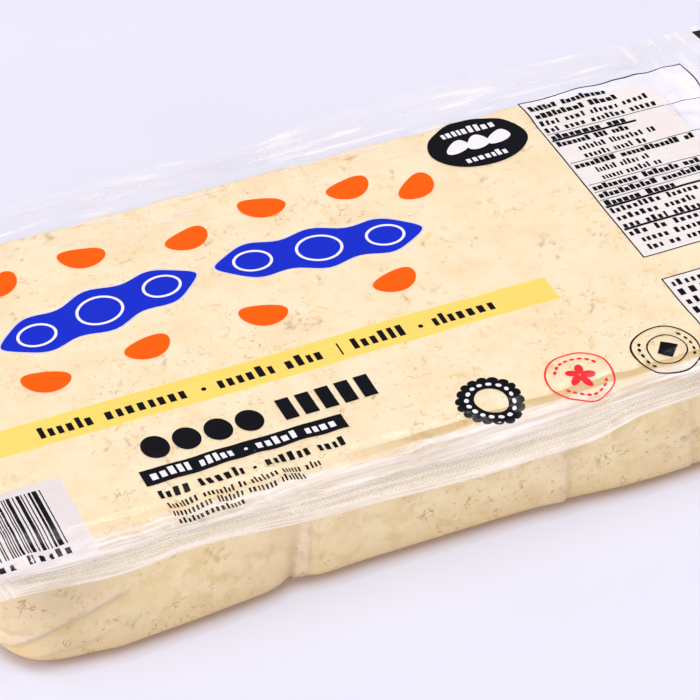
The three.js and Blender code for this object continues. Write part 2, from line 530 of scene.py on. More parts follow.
@dataclass(frozen=True)
class TableFinish:
    """Pale, smooth, matt studio table that glows a little: painted light, lifted beside the pack to fill its
    shadow, and turning dim brown at its foot, a painted contact shadow.

    The foot is half the block's length and width. It, the reach of the painted contact shadow and the
    distances from the foot between which the painted fill makes the table lighter are millimetres.
    """

    pale: Colour = linear(176, 174, 190)
    worn: Colour = linear(174, 172, 188)
    glow: float = 0.355
    cool: Colour = (0.93, 0.92, 1.0, 1.0)
    lifted: Colour = (1.11, 1.11, 1.19, 1.0)
    contact_shadow_brown: Colour = (0.55, 0.3, 0.08, 1.0)
    reach: float = 4.6
    foot: Place = (124.0, 63.0)
    beside: Place = (44.0, 10.0)

    def material(self) -> bpy.types.Material:
        """Builds the material.

        Returns:
            The finished material.
        """
        graph = Graph("table")
        drift = graph.grain(graph.place(), 90, 3).ramp(0.35, 0.65)
        x, y, _ = graph.axes()
        away = (abs(x) - self.foot[0]).most(abs(y) - self.foot[1])
        # Painted light and shade: the glow is lifted beside the pack to fill its shadow, and turns dim brown
        # where ambient occlusion finds the pack's foot, a painted contact shadow.
        cool = graph.blend(away.ramp(*self.beside), self.cool, self.lifted)
        under = {"Distance": self.reach * MM}
        cover = graph.node("ShaderNodeAmbientOcclusion", {"samples": 4}, under, "AO")
        sockets = {
            "Base Color": graph.blend(drift, self.pale, self.worn),
            "Roughness": 0.7,
            "Specular IOR Level": 0.1,
            "Emission Color": graph.blend(cover.ramp(0.45, 0.92), self.contact_shadow_brown, cool),
            "Emission Strength": self.glow,
        }
        return graph.opaque(sockets)


# ---------------------------------------------------------------- workbench


class Bench:
    """The modelling steps that the pieces share, each by the operator a modeller would use."""

    @staticmethod
    def clear() -> None:
        """Deselects every object."""
        bpy.ops.object.select_all(action="DESELECT")

    @staticmethod
    def take(piece: bpy.types.Object) -> None:
        """Selects one object alone and makes it the active one.

        Args:
            piece: The object.
        """
        Bench.clear()
        piece.select_set(True)
        bpy.context.view_layer.objects.active = piece

    @staticmethod
    def name(name: str) -> bpy.types.Object:
        """Names the active object, which an operator has just made, and its mesh.

        Args:
            name: The name.

        Returns:
            The object.
        """
        piece = bpy.context.object
        piece.name = piece.data.name = name
        return piece

    @staticmethod
    def grid(centre: Point, size: Place, cells: tuple[int, int]) -> bpy.types.Object:
        """Adds a flat grid.

        Args:
            centre: Its middle.
            size: Its length and its width.
            cells: How many cells it has along them.

        Returns:
            The new object.
        """
        Bench.clear()
        along, across = cells
        bpy.ops.mesh.primitive_grid_add(size=1, x_subdivisions=along, y_subdivisions=across, location=centre)
        bpy.context.object.scale = (*size, 1)
        bpy.ops.object.transform_apply()
        return bpy.context.object

    @staticmethod
    def copy_of(node: bpy.types.Object, name: str) -> bpy.types.Object:
        """A new object with its own copy of a node's mesh, its corners merged and its faces quads.

        Args:
            node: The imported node.
            name: The new object's name.

        Returns:
            The new object.
        """
        piece = bpy.data.objects.new(name, node.data.copy())
        piece.data.materials.clear()
        bpy.context.scene.collection.objects.link(piece)
        slack = math.radians(60)
        with Bench.editing(piece):
            bpy.ops.mesh.remove_doubles(threshold=0.01 * MM)
            bpy.ops.mesh.tris_convert_to_quads(face_threshold=slack, shape_threshold=slack)
        return piece

    @staticmethod
    @contextmanager
    def editing(piece: bpy.types.Object) -> Iterator[None]:
        """Edit mode on one object with all of it selected.

        Args:
            piece: The object.

        Yields:
            Nothing, while the object is in edit mode.
        """
        Bench.take(piece)
        bpy.ops.object.mode_set(mode="EDIT")
        bpy.ops.mesh.select_mode(type="FACE")
        bpy.ops.mesh.select_all(action="SELECT")
        yield
        bpy.ops.object.mode_set(mode="OBJECT")

    @staticmethod
    @contextmanager
    def picking(piece: bpy.types.Object, chosen: Callable[[bpy.types.MeshPolygon], bool]) -> Iterator[None]:
        """Edit mode on one object with only the chosen faces selected.

        Args:
            piece: The object.
            chosen: Says whether a face is chosen.

        Yields:
            Nothing, while the object is in edit mode.
        """
        with Bench.editing(piece):
            bpy.ops.mesh.select_all(action="DESELECT")
            bpy.ops.object.mode_set(mode="OBJECT")
            for face in piece.data.polygons:
                face.select = chosen(face)
            bpy.ops.object.mode_set(mode="EDIT")
            yield

    @staticmethod
    def modify(piece: bpy.types.Object, kind: str, **settings: object) -> None:
        """Adds a modifier, sets it and applies it.

        Args:
            piece: The object.
            kind: The modifier's type.
            **settings: Its settings.
        """
        Bench.take(piece)
        modifier = piece.modifiers.new(kind.title(), kind)
        for name, value in settings.items():
            setattr(modifier, name, value)
        bpy.ops.object.modifier_apply(modifier=modifier.name)

    @staticmethod
    def subdivide_smoothly(piece: bpy.types.Object, levels: int) -> None:
        """Applies a subdivision surface."""
        Bench.modify(piece, "SUBSURF", levels=levels, render_levels=levels)

    @staticmethod
    def modify_part(
        piece: bpy.types.Object, kind: str, share: Callable[[bpy.types.MeshVertex], float], **settings: object
    ) -> None:
        """Applies a modifier to part of a piece.

        Args:
            piece: The object.
            kind: The modifier's type.
            share: Gives how much of it a vertex takes, from 0 to 1.
            **settings: The modifier's settings.
        """
        group = piece.vertex_groups.new(name="part")
        for vertex in piece.data.vertices:
            group.add([vertex.index], share(vertex), "REPLACE")
        Bench.modify(piece, kind, vertex_group=group.name, **settings)
        piece.vertex_groups.clear()

    @staticmethod
    def move_points(piece: bpy.types.Object, rule: Callable[[Vector], Vector]) -> None:
        """Moves each vertex of a piece.

        Args:
            piece: The object.
            rule: Gives a vertex's new place from its old one.
        """
        for vertex in piece.data.vertices:
            vertex.co = rule(vertex.co.copy())
        piece.data.update()

    @staticmethod
    def raise_points(piece: bpy.types.Object, heights: list[float]) -> None:
        """Moves each vertex of a piece along its normal.

        Args:
            piece: The object.
            heights: How far each of them moves, in metres.
        """
        normals = [vertex.normal.copy() for vertex in piece.data.vertices]
        for vertex, normal, height in zip(piece.data.vertices, normals, heights):
            vertex.co += normal * height
        piece.data.update()

    @staticmethod
    def lay_on(piece: bpy.types.Object, ground: bpy.types.Object, above: float) -> None:
        """Lowers a flat piece straight down onto another's upper face.

        Args:
            piece: The object, which lies higher.
            ground: What it comes to lie on.
            above: Height over it, in metres.
        """
        down = {"use_negative_direction": True, "use_positive_direction": False}
        Bench.modify(piece, "SHRINKWRAP", target=ground, wrap_method="PROJECT", use_project_z=True, **down)
        piece.data.transform(Matrix.Translation((0, 0, above)))

    @staticmethod
    def store(piece: bpy.types.Object, name: str, rule: Callable[[bpy.types.MeshVertex], float]) -> None:
        """Keeps the number that a rule gives each vertex, as an attribute of that name."""
        kept = piece.data.attributes.new(name, "FLOAT", "POINT")
        kept.data.foreach_set("value", [rule(vertex) for vertex in piece.data.vertices])

    @staticmethod
    def dress(
        piece: bpy.types.Object,
        material: bpy.types.Material,
        slot: str,
        replaces: str = "",
        smooth: bool = True,
    ) -> bpy.types.Object:
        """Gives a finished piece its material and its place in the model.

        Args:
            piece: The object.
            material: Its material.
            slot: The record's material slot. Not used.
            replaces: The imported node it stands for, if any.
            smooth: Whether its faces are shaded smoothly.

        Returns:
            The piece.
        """
        Bench.take(piece)
        piece.data.materials.clear()
        piece.data.materials.append(material)
        if smooth:
            bpy.ops.object.shade_smooth_by_angle(angle=math.radians(50))
        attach(piece, BODY)
        if replaces:
            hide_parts(replaces)
        LOG.info("%s: %d faces", piece.name, len(piece.data.polygons))
        return piece


@dataclass(frozen=True)
class Outline:
    """A rectangle with round corners, centred on the origin."""

    length: float
    width: float
    radius: float

    def _past(self, x: float, y: float) -> Place:
        """How far a place lies past the centre of the nearest corner's arc, along x and y."""
        return abs(x) - self.length / 2 + self.radius, abs(y) - self.width / 2 + self.radius

    def inside(self, x: float, y: float) -> float:
        """Distance from a place to the outline, positive inside it."""
        across, up = self._past(x, y)
        return self.radius - math.hypot(max(across, 0.0), max(up, 0.0)) - min(max(across, up), 0.0)

    def rounded(self, place: Vector) -> Vector:
        """Pulls a point of the square-cornered rectangle onto the round-cornered one.

        Args:
            place: The point.

        Returns:
            Its new place.
        """
        across, up = self._past(place.x, place.y)
        if across <= 0 or up <= 0:
            return place
        pull = max(across, up) / math.hypot(across, up)
        x = math.copysign(self.length / 2 - self.radius + across * pull, place.x)
        y = math.copysign(self.width / 2 - self.radius + up * pull, place.y)
        return Vector((x, y, place.z))


# ---------------------------------------------------------------- the block


@dataclass
class CurdBlock:
    """The tofu itself, just inside its formed film, with real dents and an uneven pressed face."""

    node: bpy.types.Object
    lid: bpy.types.Object
    folds: tuple["Crease", ...]
    voxel: float = 0.85 * MM
    inset: float = 0.16 * MM
    dent: float = 0.55 * MM
    underside: float = 0.2 * MM

    # Vertex attribute of dent depth, which also holds the folds' painted shade.
    DENTS_AND_FOLD_SHADE = "dents"

    def build(self) -> bpy.types.Object:
        """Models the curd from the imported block.

        Returns:
            The finished piece.
        """
        piece = Bench.copy_of(self.node, "curd")
        Bench.subdivide_smoothly(piece, 2)
        Bench.modify(piece, "REMESH", mode="VOXEL", voxel_size=self.voxel, adaptivity=0.0)
        with Bench.picking(piece, lambda face: face.center.z < self.underside):
            bpy.ops.mesh.dissolve_limited(angle_limit=math.radians(2))
        Bench.modify(piece, "SMOOTH", factor=0.5, iterations=6)
        Bench.modify(piece, "DISPLACE", strength=-self.inset, mid_level=0.0)
        self._rise(piece)
        for name, size, height in (("broad", 22 * MM, 0.2 * MM), ("curds", 4.5 * MM, 0.14 * MM)):
            pattern = bpy.data.textures.new(name, "CLOUDS")
            pattern.noise_scale = size
            Bench.modify(piece, "DISPLACE", texture=pattern, strength=height, mid_level=0.9)
        self._wear(piece)
        Crease.fold(piece, self.folds)
        return Bench.dress(piece, CurdFinish().material(), "tofu", "tofu_block")

    def _rise(self, piece: bpy.types.Object) -> None:
        """Brings the upper face up against the underside of the lid film.

        Args:
            piece: The curd.
        """
        Bench.modify_part(
            piece,
            "SHRINKWRAP",
            lambda vertex: ease(vertex.normal.z, 0.93, 0.995),
            target=self.lid,
            wrap_method="PROJECT",
            use_project_z=True,
            project_limit=3 * MM,
            offset=0.03 * MM,
        )

    def _wear(self, piece: bpy.types.Object) -> None:
        """Sinks scattered dents and the folds' shaded sides, keeps how deep each vertex went, which the
        material also draws as the folds' painted shade, and wears the far upper edge back.

        Args:
            piece: The curd.
        """
        depths = [self._dent_share(vertex) for vertex in piece.data.vertices]
        Bench.raise_points(piece, [-depth * self.dent for depth in depths])
        Bench.move_points(piece, lambda place: place - Vector((0, self._ragged(place / MM) * MM, 0)))
        Bench.store(piece, self.DENTS_AND_FOLD_SHADE, lambda vertex: depths[vertex.index])

    @staticmethod
    def _ragged(at: Vector) -> float:
        """How far the worn upper edge of the far wall stands back, in millimetres."""
        worn = 0.5 + 0.9 * sway(at.x / 9, at.z / 12, 3) + 0.6 * sway(at.x / 2.6, 0, 8)
        return 1.3 * max(worn, 0.0) * ease(at.y, 56, 62) * ease(at.z, 24, 35)

    def _dent_share(self, vertex: bpy.types.MeshVertex) -> float:
        """Works out how much of a dent or of a fold's painted shade there is at a vertex.

        Args:
            vertex: The vertex.

        Returns:
            The share, from 0 to 1.
        """
        at = vertex.co / MM
        ridge = abs(noise.noise(at / 5.2)) + 0.35 * abs(noise.noise(at / 2.1 + Vector((7, 3, 1))))
        line = 1 - ease(ridge, 0.03, 0.16)
        kept = ease(noise.noise(at / 9 + Vector((31, 5, 17))), 0.3, 0.5)
        return max(line * kept, *(fold.shade(vertex) for fold in self.folds))


@dataclass(frozen=True)
class Crease:
    """A fold in the formed film: a small step along a line, with a painted highlight, as milk in the film, on
    its left and painted shade on the curd on its right.

    Left is as seen from outside by someone who follows the line. All lengths are millimetres. The milk, a
    painted highlight, and the painted shade are each a strength and the distance over which it fades.
    """

    line: tuple[Point, ...]
    step: float
    reach: float
    milk: Place = (0.0, 1.0)
    painted_shade: Place = (0.0, 1.0)
    groove: float = 0.0

    FAR = 45.0
    SPARE = 8.0
    SLOPE = 0.7

    def spans(self, x: float) -> bool:
        """Whether a place along the wall, in metres, is close to the fold."""
        ends = [point[0] for point in self.line]
        return min(ends) - self.SPARE < x / MM < max(ends) + self.SPARE

    def offset(self, vertex: bpy.types.MeshVertex) -> float:
        """How far a vertex lies to the left of the line, negative to its right.

        Args:
            vertex: The vertex.

        Returns:
            The distance, or FAR where the line is further off than that.
        """
        place = vertex.co / MM
        best = self.FAR
        if (place - Vector(self.line[0])).length > self.FAR:
            return best
        for start, end in zip(self.line, self.line[1:]):
            run = Vector(end) - Vector(start)
            gap = place - Vector(start)
            gap -= run * min(max(gap.dot(run) / run.length_squared, 0.0), 1.0)
            gap -= vertex.normal * gap.dot(vertex.normal)
            if gap.length < abs(best):
                best = math.copysign(gap.length, gap.dot(vertex.normal.cross(run)))
        return best

    def lift(self, vertex: bpy.types.MeshVertex) -> float:
        """Works out how far the fold raises the surface at a vertex.

        Args:
            vertex: The vertex.

        Returns:
            The height in millimetres.
        """
        gap = self.offset(vertex)
        side = min(max(gap / self.SLOPE, -1.0), 1.0)
        return (self.step * side - self.groove) * math.exp(-abs(gap) / self.reach)

    def shade(self, vertex: bpy.types.MeshVertex) -> float:
        """How much painted shade it puts on the curd at a vertex."""
        gap = self.offset(vertex)
        return self.painted_shade[0] * math.exp(-abs(gap) / self.painted_shade[1]) * ease(gap, 0.5, -0.4)

    def haze(self, vertex: bpy.types.MeshVertex) -> float:
        """How much painted highlight it puts in the film at a vertex, as milk."""
        gap = self.offset(vertex)
        return self.milk[0] * math.exp(-abs(gap) / self.milk[1]) * ease(gap, -0.3, 0.5)

    @classmethod
    def fold(cls, piece: bpy.types.Object, folds: tuple["Crease", ...]) -> None:
        """Presses folds into a piece, but not into its foot.

        Args:
            piece: The object.
            folds: The folds.
        """
        heights = []
        for vertex in piece.data.vertices:
            lift = sum(fold.lift(vertex) for fold in folds)
            heights.append(lift * MM * ease(vertex.co.z, 0.2 * MM, 2.5 * MM))
        Bench.raise_points(piece, heights)


CORNER_FOLD = (
    (-122.0, -56.0, 4.6), (-120.1, -59.4, 6.0), (-117.1, -62.3, 9.2), (-114.3, -63.6, 11.0),
    (-109.2, -64.8, 13.5), (-105.1, -65.0, 14.9), (-102.4, -65.0, 15.6), (-98.3, -65.1, 16.9),
    (-93.0, -65.1, 18.6),
)
CORNER_GLINT = ((-116.0, -62.4, 11.2), (-117.1, -61.7, 10.8), (-120.2, -59.0, 9.6), (-122.1, -56.0, 9.1))
LOW_FOLD = (
    (-113.5, -64.4, 4.4), (-111.9, -65.2, 5.0), (-108.4, -65.9, 6.0), (-104.0, -66.4, 6.2),
    (-99.0, -66.8, 8.0),
)
PINCH = (
    (-40.8, -63.0, 30.0), (-41.0, -62.9, 22.8), (-42.5, -62.3, 14.5), (-43.3, -62.0, 7.4),
    (-43.7, -60.8, 1.4),
)
PINCH_SIDE = ((-40.4, -62.5, 2.0), (-39.7, -63.4, 8.9), (-39.8, -63.3, 17.8), (-39.8, -63.3, 32.0))
PINCH_FOOT = ((-43.4, -61.8, 6.0), (-43.7, -60.8, 1.0))
STEP = ((35.0, -64.4, 1.0), (34.7, -64.4, 11.3), (34.0, -64.2, 34.0))
FAINT_STEP = ((72.4, -65.4, 1.0), (70.8, -65.7, 12.9), (70.4, -65.5, 34.0))

# Each fold's milk is a painted highlight in the film, and its painted_shade darkens the curd beside it.
FOLDS = (
    Crease(CORNER_FOLD, 0.55, 2.6, milk=(0.24, 3.2), painted_shade=(0.5, 2.4)),
    Crease(CORNER_GLINT, 0.4, 1.0, milk=(0.7, 0.7), painted_shade=(0.8, 0.8)),
    Crease(LOW_FOLD, 0.3, 1.6, milk=(0.1, 2.0), painted_shade=(0.3, 1.4)),
    Crease(PINCH, 0.5, 1.4, milk=(0.5, 1.3), painted_shade=(0.4, 1.6), groove=0.25),
    Crease(PINCH_FOOT, 0.2, 2.2, groove=1.0),
    Crease(PINCH_SIDE, 0.25, 2.0, milk=(0.22, 6.0), painted_shade=(0.3, 2.0)),
    Crease(STEP, 0.45, 2.2, milk=(0.24, 5.0), painted_shade=(0.3, 3.0)),
    Crease(FAINT_STEP, 0.3, 2.4, milk=(0.1, 6.0), painted_shade=(0.2, 4.0)),
)


@dataclass
class FormedFilm:
    """The thin lower film, drawn tight round the block's walls and foot."""

    node: bpy.types.Object
    folds: tuple[Crease, ...]
    thickness: float = 0.12 * MM
    top: float = 36.4 * MM
    foot: float = 0.5 * MM
    near_wall: float = -50 * MM

    def build(self) -> bpy.types.Object:
        """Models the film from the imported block.

        Returns:
            The finished piece.
        """
        piece = Bench.copy_of(self.node, "formed_film")
        with Bench.picking(piece, lambda face: face.center.z > self.top):
            bpy.ops.mesh.delete(type="FACE")
        Bench.subdivide_smoothly(piece, 2)
        with Bench.picking(piece, self._folded):
            bpy.ops.mesh.subdivide(number_cuts=1)
        Crease.fold(piece, self.folds)
        # The attribute holds the folds' painted highlights, as milk.
        Bench.store(piece, HAZE_AND_GLINTS, self._haze_and_highlights)
        Bench.modify(piece, "SOLIDIFY", thickness=self.thickness, offset=-1)
        ripples = {"ripple_size": (0.1, 0.1, 0.16)}
        finish = FilmFinish(piece.name, haze=0.015, haze_attribute=HAZE_AND_GLINTS, roughness=0.16, gloss=0.4, **ripples)
        return Bench.dress(piece, finish.material(), "film")

    def _folded(self, face: bpy.types.MeshPolygon) -> bool:
        """Whether a face lies on the near wall by a fold, where the mesh is finer."""
        on_wall = face.center.y < self.near_wall and face.center.z > self.foot
        return on_wall and any(fold.spans(face.center.x) for fold in self.folds)

    def _haze_and_highlights(self, vertex: bpy.types.MeshVertex) -> float:
        """How much painted highlight the folds put in the film at a vertex, as milk."""
        patchy = 0.75 + 0.5 * noise.noise(vertex.co / (6 * MM) + Vector((0, 0, 90)))
        return patchy * max(fold.haze(vertex) for fold in self.folds)


# ---------------------------------------------------------------- the lid


@dataclass
class LidFilm:
    """The printed lid film, clear where it lies on the curd and milky where it bridges to the seal, with
    painted glints and glare drawn as extra milk.

    Side weld and end weld are the distances from the block, in millimetres, between which the film is
    welded along its long sides and at its ends. Those begin at side and end, measured from the middle,
    and the film gathers towards them over the side zone and the end zone. Gather is the length from one
    gather to the next. A ledge is its drop, how far it wanders, and where it starts and ends.
    """

    node: bpy.types.Object
    block: Outline
    cell: float = 1.5 * MM
    row: float = 0.9 * MM
    thickness: float = 0.16 * MM
    margin: float = 0.15 * MM
    corner: float = 4 * MM
    side_weld: Place = (5.4, 10.4)
    end_weld: Place = (19.4, 24.4)
    side: float = 60.0
    end: float = 121.0
    side_zone: Place = (40.0, 62.0)
    end_zone: Place = (98.0, 122.0)
    gather: float = 11.5
    pinch: Place = (-47.5, -55.0)
    pinch_width: float = 2.6
    ledges: tuple[Field, ...] = ((0.24, 1.0, -56.6, -57.9), (0.2, -0.6, -61.4, -62.6))

    def build(self) -> bpy.types.Object:
        """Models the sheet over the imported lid.

        Returns:
            The finished piece.
        """
        low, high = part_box("lid_film")
        length, width, _ = high - low - 2 * Vector((self.margin, self.margin, 0))
        cells = (round(length / self.cell), round(width / self.row))
        Bench.grid((0, 0, high.z + self.cell), (length, width), cells)
        piece = Bench.name("lid_film_sheet")
        Bench.move_points(piece, Outline(length, width, self.corner).rounded)
        Bench.lay_on(piece, self.node, 0)
        upright = {"factor": 0.5, "use_x": False, "use_y": False}
        Bench.modify(piece, "SMOOTH", iterations=10, **upright)
        Bench.modify_part(piece, "SMOOTH", self._far, iterations=90, **upright)
        Bench.move_points(piece, self._wrinkled)
        Bench.store(piece, HAZE_AND_GLINTS, lambda vertex: self._haze_and_highlights(vertex.co))
        Bench.modify(piece, "SOLIDIFY", thickness=self.thickness, offset=-1)
        finish = FilmFinish("lid_film", haze=0.0, haze_attribute=HAZE_AND_GLINTS, roughness=0.1, ripple=0.02)
        return Bench.dress(piece, finish.material(), "film", "lid_film")

    @staticmethod
    def _far(vertex: bpy.types.MeshVertex) -> float:
        """How much a vertex belongs to the calm far side, from 0 to 1."""
        return ease(vertex.co.y, 25 * MM, 45 * MM)

    def _wrinkled(self, place: Vector) -> Vector:
        """Adds the film's fine wrinkles to a point.

        Args:
            place: The point.

        Returns:
            Its new place.
        """
        x, y = place.x / MM, place.y / MM
        inside = self.block.inside(place.x, place.y) / MM
        at_side = ease(abs(y), *self.side_zone)
        at_end = ease(abs(x), *self.end_zone)
        near_edge = math.exp(-(((inside - 1) / 9) ** 2)) * (0.15 + 0.85 * ease(inside, -4.5, 0.5))
        calm = 1 - 0.6 * ease(y, 0, 40)
        pucker = near_edge * (at_side * calm * self._gathers(x, y, 3) + at_end * self._gathers(y, x, 9))
        outside = ease(-inside, -1, 4) * ease(-inside, 13, 7)
        streaks = at_side * sway(x / 34, y / 2.6, 21) + at_end * sway(x / 2.6, y / 34, 27)
        broad = 0.14 * sway(x / 17, y / 14, 40)
        off_pinch = x - self.pinch[0] + 0.25 * (y - self.pinch[1])
        pinch = math.exp(-((off_pinch / self.pinch_width) ** 2)) * ease(y, -38, -52) * ease(y, -72, -60)
        wander = 1.6 * sway(x / 26, 5, 0)
        ledges = sum(drop * ease(y + share * wander, *reach) for drop, share, *reach in self.ledges)
        lift = pucker + outside * (0.13 * streaks - 0.35) + broad * ease(inside, -2, 6) + 0.5 * pinch
        return place + Vector((0, 0, (lift - ledges * ease(y, -72, -66)) * MM))

    def _gathers(self, along: float, across: float, seed: float) -> float:
        """Draws the small puckers along an edge, which the vacuum pulls together.

        Args:
            along: Millimetres along the edge.
            across: Millimetres across it.
            seed: Which part of the noise they come from.

        Returns:
            The height, above and below 0.
        """
        shift = sway(along / 24, across / 30, seed)
        wave = math.sin(2 * math.pi * (along / self.gather + 1.3 * shift))
        return 0.5 * wave * (0.4 + abs(shift)) + 0.6 * sway(along / 7, across / 22, seed + 5)

    def _haze_and_highlights(self, place: Vector) -> float:
        """How milky the film is at a point, with painted glints and glare added as milk.

        Args:
            place: The point.

        Returns:
            The share of milk, painted highlights included, from 0 to 0.9.
        """
        x, y = place.x / MM, place.y / MM
        inside = self.block.inside(place.x, place.y) / MM
        lifted = ease(inside + 0.6 * sway(x / 14, y / 9, 60), 2.8, 0.4)
        weld, rim = self.side_weld if abs(y) > self.side else self.end_weld
        along, across = (x, y) if abs(x) < self.end else (y, x)
        streak = sway(along / 30, across / 1.6, 70)
        # Glint and glare below are painted highlights, drawn as milk in the film.
        glint = ease(sway(along / 20, across / 2.2, 33), 0.16, 0.42)
        far = ease(y, 40, 62)
        milky = (0.42 + 0.42 * streak + 0.22 * glint) * ease(-inside, weld + 0.6, weld - 0.4)
        welded = 0.2 * ease(-inside, weld - 0.4, weld + 0.6) + 0.25 * ease(-inside, rim - 0.2, rim + 0.4)
        glare = 0.3 * ease(x, -84, -104) * ease(y, -57, -63) * ease(y, -70, -67) + 0.45 * far * glint
        return min(0.05 * (1 - lifted) + lifted * (milky + welded) * (1 - 0.65 * far) + glare, 0.9)


@dataclass
class Seal:
    """The welded band all round: fine square knurling, the bead at its inner edge and the clean rim."""

    lid: bpy.types.Object
    rim: Outline
    pitch: float = 0.66 * MM
    rim_strip: float = 2.1 * MM
    band: float = 5.0 * MM
    thickness: float = 0.1 * MM
    tooth: float = 0.07 * MM
    bead: float = 0.2 * MM
    milk: Colour = linear(250, 237, 220)

    ABOVE = 60 * MM
    CORNER_MILK, TIP_MILK = 0.34, (0.28, 0.5)

    def build(self) -> list[bpy.types.Object]:
        """Models the band and the bead."""
        return [self._knurl(), self._bead()]

    def _knurl(self) -> bpy.types.Object:
        """Models four strips of small pyramids, pressed onto the lid's flange.

        Returns:
            The finished band.
        """
        reach_x = self.rim.length / 2 - self.rim_strip
        reach_y = self.rim.width / 2 - self.rim_strip
        half = self.band / 2
        ends = 2 * (reach_y - self.band) - self.pitch
        strips = []
        for side in (-1, 1):
            strips.append(self._strip((0, side * (reach_y - half)), (2 * reach_x, self.band)))
            strips.append(self._strip((side * (reach_x - half), 0), (self.band, ends)))
        Bench.take(strips[0])
        for strip in strips:
            strip.select_set(True)
        bpy.ops.object.join()
        piece = Bench.name("weld_band")
        Bench.lay_on(piece, self.lid, 0.03 * MM)
        corners = len(piece.data.vertices)
        with Bench.editing(piece):
            bpy.ops.mesh.poke(offset=self.tooth)
        Bench.store(piece, HAZE_AND_GLINTS, lambda vertex: self._milk(vertex, corners))
        Bench.modify(piece, "SOLIDIFY", thickness=self.thickness, offset=-1)
        matt = {"roughness": 0.3, "gloss": 0.4, "ripple": 0.0}
        finish = FilmFinish("weld_band", haze=0.02, haze_attribute=HAZE_AND_GLINTS, milk=self.milk, **matt)
        piece.visible_shadow = False
        return Bench.dress(piece, finish.material(), "film", smooth=False)

    def _milk(self, vertex: bpy.types.MeshVertex, corners: int) -> float:
        """How milky the knurling is at a vertex: most on every other tip.

        Args:
            vertex: The vertex.
            corners: How many vertices are corners of cells. They come before the tips.

        Returns:
            The share of milk, fainter towards the far side.
        """
        tip = vertex.index - corners
        milk = self.TIP_MILK[tip % 2] if tip >= 0 else self.CORNER_MILK
        return milk * (1 - 0.85 * ease(vertex.co.y, 40 * MM, 62 * MM))

    def _strip(self, centre: Place, size: Place) -> bpy.types.Object:
        """One strip of square cells above the lid, an odd number of them along x."""
        cells = (round(size[0] / self.pitch) // 2 * 2 + 1, round(size[1] / self.pitch))
        return Bench.grid((*centre, self.ABOVE), size, cells)

    def _bead(self) -> bpy.types.Object:
        """Models the raised line where the weld starts.

        Returns:
            The finished bead.
        """
        inner = 2 * (self.rim_strip + self.band)
        Bench.clear()
        bpy.ops.mesh.primitive_plane_add(size=1, location=(0, 0, self.ABOVE))
        piece = Bench.name("weld_bead")
        piece.scale = (self.rim.length - inner, self.rim.width - inner, 1)
        bpy.ops.object.transform_apply()
        with Bench.editing(piece):
            bpy.ops.mesh.bevel(offset=3 * MM, segments=5, affect="VERTICES")
            bpy.ops.mesh.delete(type="ONLY_FACE")
            bpy.ops.mesh.select_mode(type="EDGE")
            bpy.ops.mesh.select_all(action="SELECT")
            bpy.ops.mesh.subdivide(number_cuts=100)
        Bench.lay_on(piece, self.lid, 0)
        Bench.take(piece)
        bpy.ops.object.convert(target="CURVE")
        piece.data.bevel_depth = self.bead
        piece.data.bevel_resolution = 1
        bpy.ops.object.convert(target="MESH")
        finish = FilmFinish("weld_bead", haze=0.25, ripple=0.0)
        return Bench.dress(bpy.context.object, finish.material(), "film")


# ---------------------------------------------------------------- the print


class Ink(Enum):
    """The inks, each printed as a piece of its own, from the lowest to the uppermost."""

    YELLOW = "yellow"
    PANEL = "panel"
    WHITE = "white"
    BLUE = "blue"
    ORANGE = "orange"
    RED = "red"
    BLACK = "black"
    KNOCKOUT = "knockout"


@dataclass(frozen=True)
class Line:
    """One line of text as plain blocks: where it runs and how many blocks each word has.

    A count of DOT stands for a round bullet between two words, and one of RULE for an upright rule.
    """

    start: float
    end: float
    foot: float
    height: float
    words: tuple[int, ...]
    fill: float = 0.6

    DOT = 0
    RULE = -1


